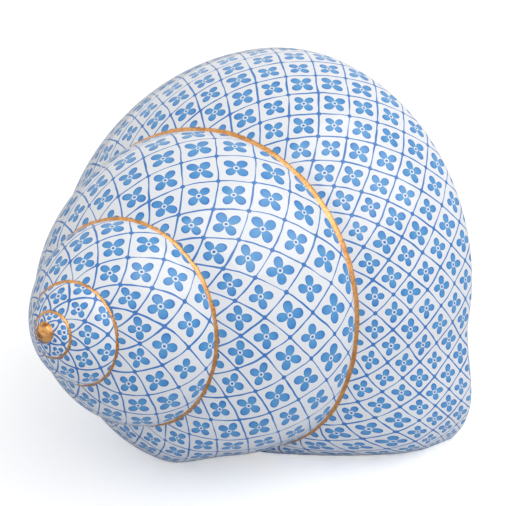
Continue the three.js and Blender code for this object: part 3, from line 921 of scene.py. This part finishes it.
def blossom(tree, p, q, wide, tall, pen):
    """Masks of the petals, their edges, the ring and the eye, and how far along a petal a place is."""
    x, y = cell_places(tree, p, q, wide, tall, middle=True)
    cell = add(tree, COMBINE, *[maths(tree, "FLOOR", value) for value in (p, q)])
    chance = add(tree, "ShaderNodeTexWhiteNoise", cell, noise_dimensions="2D", out=1)
    tilt = maths(tree, "SUBTRACT", part(tree, chance), 0.5)
    tilt = maths(tree, "MULTIPLY", tilt, BLOSSOM_TILT)
    angle = maths(tree, "ADD", maths(tree, "ARCTAN2", y, x), tilt)
    narrow = maths(tree, "MINIMUM", wide, tall)
    size = maths(tree, "MULTIPLY", maths(tree, "ADD", narrow, tall), BLOSSOM / 2)
    vary = add(tree, RANGE, part(tree, chance, 1), 0.0, 1.0, *BLOSSOM_VARIES)
    size = maths(tree, "MULTIPLY", size, vary)
    from_middle = length(tree, x, y)
    lobes = maths(tree, "COSINE", maths(tree, "MULTIPLY", angle, 2.0))
    lobes = maths(tree, "POWER", maths(tree, "ABSOLUTE", lobes), PETAL_ROUNDNESS)
    past_petal = maths(tree, "SUBTRACT", from_middle, maths(tree, "MULTIPLY", lobes, size))
    petals = mask(tree, past_petal, 0.0, PETAL_SOFTNESS)
    edges = mask(tree, maths(tree, "ABSOLUTE", past_petal), maths(tree, "MULTIPLY", pen, PETAL_EDGE))
    ring, eye = [mask(tree, from_middle, radius) for radius in (EYE_RING, EYE)]
    return petals, edges, ring, eye, maths(tree, "DIVIDE", from_middle, size)


def blue_design(tree, here, white):
    """The trellis and blossoms over the white, wider on the base and with a border of lines there."""
    paint, place = [add(tree, ATTRIBUTE, attribute_name=name, out=1) for name in ("paint", "place")]
    across, down, tall = [part(tree, paint, i) for i in range(3)]
    girth, outside = [part(tree, place, i) for i in range(2)]
    across, down = wobbled(tree, here, (across, down))
    narrowing = maths(tree, "ABSOLUTE", maths(tree, "SUBTRACT", girth, 1.0))
    narrowing = maths(tree, "SUBTRACT", 1.0, narrowing)
    on_base = maths(tree, "GREATER_THAN", girth, 2 - BORDERS[0])
    spread = maths(tree, "ADD", on_base, 1.0)
    across = maths(tree, "DIVIDE", across, spread)
    wide = maths(tree, "MULTIPLY", maths(tree, "MULTIPLY", tall, narrowing), spread)
    # p and q count the strokes of the trellis in its two directions
    p = maths(tree, "ADD", across, down)
    q = maths(tree, "SUBTRACT", across, down)

    steep = length(tree, *[maths(tree, "DIVIDE", 1.0, size) for size in (wide, tall)])
    nearest = [maths(tree, "PINGPONG", value, 0.5) for value in (p, q)]
    from_line = maths(tree, "DIVIDE", maths(tree, "MINIMUM", *nearest), steep)
    pressure = noise_at(tree, here, PRESSURE_NOISE)
    pen = add(tree, RANGE, pressure, *NOISE_SPAN, *[STROKE * share for share in STROKE_VARIES])
    lines = mask(tree, from_line, pen)
    petals, edges, ring, eye, along = blossom(tree, p, q, wide, tall, pen)
    from_crossing = length(tree, *cell_places(tree, p, q, wide, tall, middle=False))
    dots = mask(tree, from_crossing, CROSSING_DOT, DOT_SOFTNESS)

    wetness = noise_at(tree, here, WETNESS_NOISE)
    density = add(tree, RANGE, along, *FILL_ALONG, *FILL_DENSITY)
    density = maths(tree, "ADD", density, add(tree, RANGE, wetness, *NOISE_SPAN, *FILL_WETNESS))
    fill = mixed(tree, density, linear(BLUE_LIGHT), linear(BLUE_DEEP), "RGBA")
    line_colour = mixed(tree, wetness, linear(COBALT_LIGHT), linear(COBALT_DEEP), "RGBA")
    drawn = over(tree, white, fill, petals)
    drawn = over(tree, drawn, line_colour, edges)
    drawn = over(tree, drawn, white, ring)
    for share in (eye, lines, dots):
        drawn = over(tree, drawn, line_colour, share)
    for border in BORDERS:
        from_border = maths(tree, "ABSOLUTE", maths(tree, "SUBTRACT", girth, 2 - border))
        from_border = maths(tree, "MULTIPLY", from_border, BORDER_RADIUS)
        drawn = over(tree, drawn, line_colour, mask(tree, from_border, pen))
    shown = maths(tree, "LESS_THAN", girth, 2 - BORDERS[-1] + BORDER_SLACK)
    return over(tree, white, drawn, maths(tree, "MULTIPLY", shown, outside))


def glazed_porcelain(name, painted):
    """Hard white porcelain, slip-cast and fired under a clear glaze, with faint waves where it ran.

    It gives the eye a faintly cool white with a smooth, wet shine. The painted kind has a trellis drawn by
    brush in cobalt blue under the glaze, with a blossom in each diamond. The colour is soft at its edges and
    denser where the brush paused.
    """
    material, tree = new_material(name)
    here = add(tree, "ShaderNodeTexCoord", out=3)
    colour = linear(PORCELAIN)
    if painted:
        colour = blue_design(tree, here, colour)
    waves = noise_at(tree, here, WAVE_NOISE)
    normal = add(tree, BUMP, named={**GLAZE_WAVES, "Height": waves})
    shade = add(tree, PRINCIPLED, named={"Base Color": colour, **GLAZE, "Normal": normal})
    add(tree, "ShaderNodeOutputMaterial", shade)
    return material


def fired_gold(name, contrast, dark, brush):
    """Liquid bright gold, laid on over the glaze with a brush and fired.

    It gives the eye a warm mirror with brush marks and darker pools. Real brush marks are too fine to show
    here, so they are drawn coarser.
    """
    material, tree = new_material(name)
    here = add(tree, "ShaderNodeTexCoord", out=3)
    marks = noise_at(tree, here, brush)
    pools = maths(tree, "MULTIPLY", noise_at(tree, here, POOL_NOISE), MARK_SHARES[1])
    both = maths(tree, "MULTIPLY_ADD", marks, MARK_SHARES[0], pools)
    bright = add(tree, RANGE, both, 0.5 - contrast, 0.5 + contrast, 0.0, 1.0)
    colour = mixed(tree, bright, linear(dark), linear(GOLD_BRIGHT), "RGBA")
    normal = add(tree, BUMP, named={**GOLD_MARKS, "Height": marks})
    shade = add(tree, PRINCIPLED, named={"Base Color": colour, **GOLD, "Normal": normal})
    add(tree, "ShaderNodeOutputMaterial", shade)
    return material


def turns_of(back):
    """From where to where a whorl or its gilt line runs, counted back from the mouth."""
    return {"Start_turn": MOUTH_TURN - 1 - back, "End_turn": MOUTH_TURN - back}


painted = glazed_porcelain("painted_porcelain", True)
glaze = glazed_porcelain("white_porcelain", False)
gold = fired_gold("fired_gold", LINE_CONTRAST, GOLD_DEEP, LINE_MARKS)
pooled_gold = fired_gold("pooled_gold", TIP_CONTRAST, GOLD_POOL, TIP_MARKS)

grown = grown_tree()
curve = curve_tree()
flank = flank_tree(grown)
seam_place = seam_place_tree(grown)
outline = outline_tree(curve, flank, seam_place)
set_in = offset_tree(outline)
placed = placed_tree()
body_outline = body_outline_tree(seam_place, set_in)
whorl = whorl_tree(flank, body_outline, placed)
pillar = pillar_tree(flank, placed)
gilt_line = gilt_line_tree(curve, seam_place, outline, body_outline, placed)
tip = tip_tree(placed)

for back, (node, turn_steps, section_steps, filled) in enumerate(WHORLS):
    steps = {"Turn_steps": turn_steps, "Section_steps": section_steps}
    made_of = {"Filled": filled, "Mouth_middle": mouth_middle(), "Material": painted}
    piece = grow(node + "_glazed", whorl, **turns_of(back), **steps, **made_of)
    finished(piece, [node], floor_until=FLOOR_UNTIL)

finished(grow("columella_glazed", pillar, Material=glaze), ["columella"])

for back, (above, below) in enumerate(LINE_WIDTHS):
    node = f"gilt_line_{back + 1}"
    widths = {"Width_above": above * MM, "Width_below": below * MM}
    seed = LINE_SEED + NEXT_SEED * back
    line = grow(node + "_brushed", gilt_line, **turns_of(back), **widths, Seed=seed, Material=gold)
    finished(line, [node])

finished(grow("gilt_tip", tip, Material=pooled_gold), ["tip_bead"])


def stage():
    """A plain white table, a grey-white room and one broad soft lamp."""
    table = bpy.data.meshes.new("table")
    corners = [(x * TABLE_REACH, y * TABLE_REACH, 0) for x, y in ((-1, -1), (1, -1), (1, 1), (-1, 1))]
    table.from_pydata(corners, [], [(0, 1, 2, 3)])
    floor = bpy.data.objects.new("table", table)
    bpy.context.collection.objects.link(floor)
    material, tree = new_material("white_paper")
    matt = add(tree, "ShaderNodeBsdfDiffuse", linear(PAPER))
    glow = add(tree, "ShaderNodeEmission", WHITE, TABLE_GLOW)
    both = add(tree, "ShaderNodeAddShader", matt, glow)
    seen = add(tree, "ShaderNodeLightPath")
    bounce = add(tree, "ShaderNodeBsdfDiffuse", linear(FLOOR_BOUNCE))
    mix = add(tree, "ShaderNodeMixShader", seen, bounce, both)
    add(tree, "ShaderNodeOutputMaterial", mix)
    table.materials.append(material)

    world = bpy.data.worlds.new("studio")
    world.use_nodes = True
    bpy.context.scene.world = world
    tree = world.node_tree
    tree.nodes.clear()
    path = tree.nodes.new("ShaderNodeLightPath")
    shown = path.outputs["Is Camera Ray"]
    for ray in ("Is Glossy Ray", "Is Transmission Ray"):
        shown = maths(tree, "MAXIMUM", shown, path.outputs[ray])
    strength = mixed(tree, shown, ROOM_LIGHT, 1.0)
    add(tree, "ShaderNodeOutputWorld", add(tree, "ShaderNodeBackground", WHITE, strength))

    lamp = bpy.data.lights.new("softbox", "AREA")
    lamp.shape = "RECTANGLE"
    lamp.size, lamp.size_y = LAMP_SIZE
    lamp.energy = LAMP_POWER
    softbox = bpy.data.objects.new("softbox", lamp)
    bpy.context.collection.objects.link(softbox)
    softbox.location = LAMP_PLACE
    softbox.rotation_euler = (LAMP_AIM - LAMP_PLACE).to_track_quat("-Z", "Y").to_euler()


def camera():
    """At the photograph's angle, from above and in front."""
    view = bpy.data.cameras.new("camera")
    view.lens = LENS
    view.sensor_width = SENSOR_WIDTH
    view.sensor_fit = "HORIZONTAL"
    eye = bpy.data.objects.new("camera", view)
    bpy.context.collection.objects.link(eye)
    forward = Vector((0, math.cos(CAMERA_TILT), -math.sin(CAMERA_TILT)))
    up = Vector((0, math.sin(CAMERA_TILT), math.cos(CAMERA_TILT)))
    eye.location = CAMERA_AIM - forward * CAMERA_DISTANCE
    aim = forward + Vector((1, 0, 0)) * CAMERA_RIGHT + up * CAMERA_UP
    eye.rotation_euler = aim.to_track_quat("-Z", "Y").to_euler()
    bpy.context.scene.camera = eye


for other in ("Cube", "Light", "Camera"):
    if other in bpy.data.objects:
        bpy.data.objects.remove(bpy.data.objects[other])
stage()
camera()
bpy.context.scene.view_settings.view_transform = "Standard"
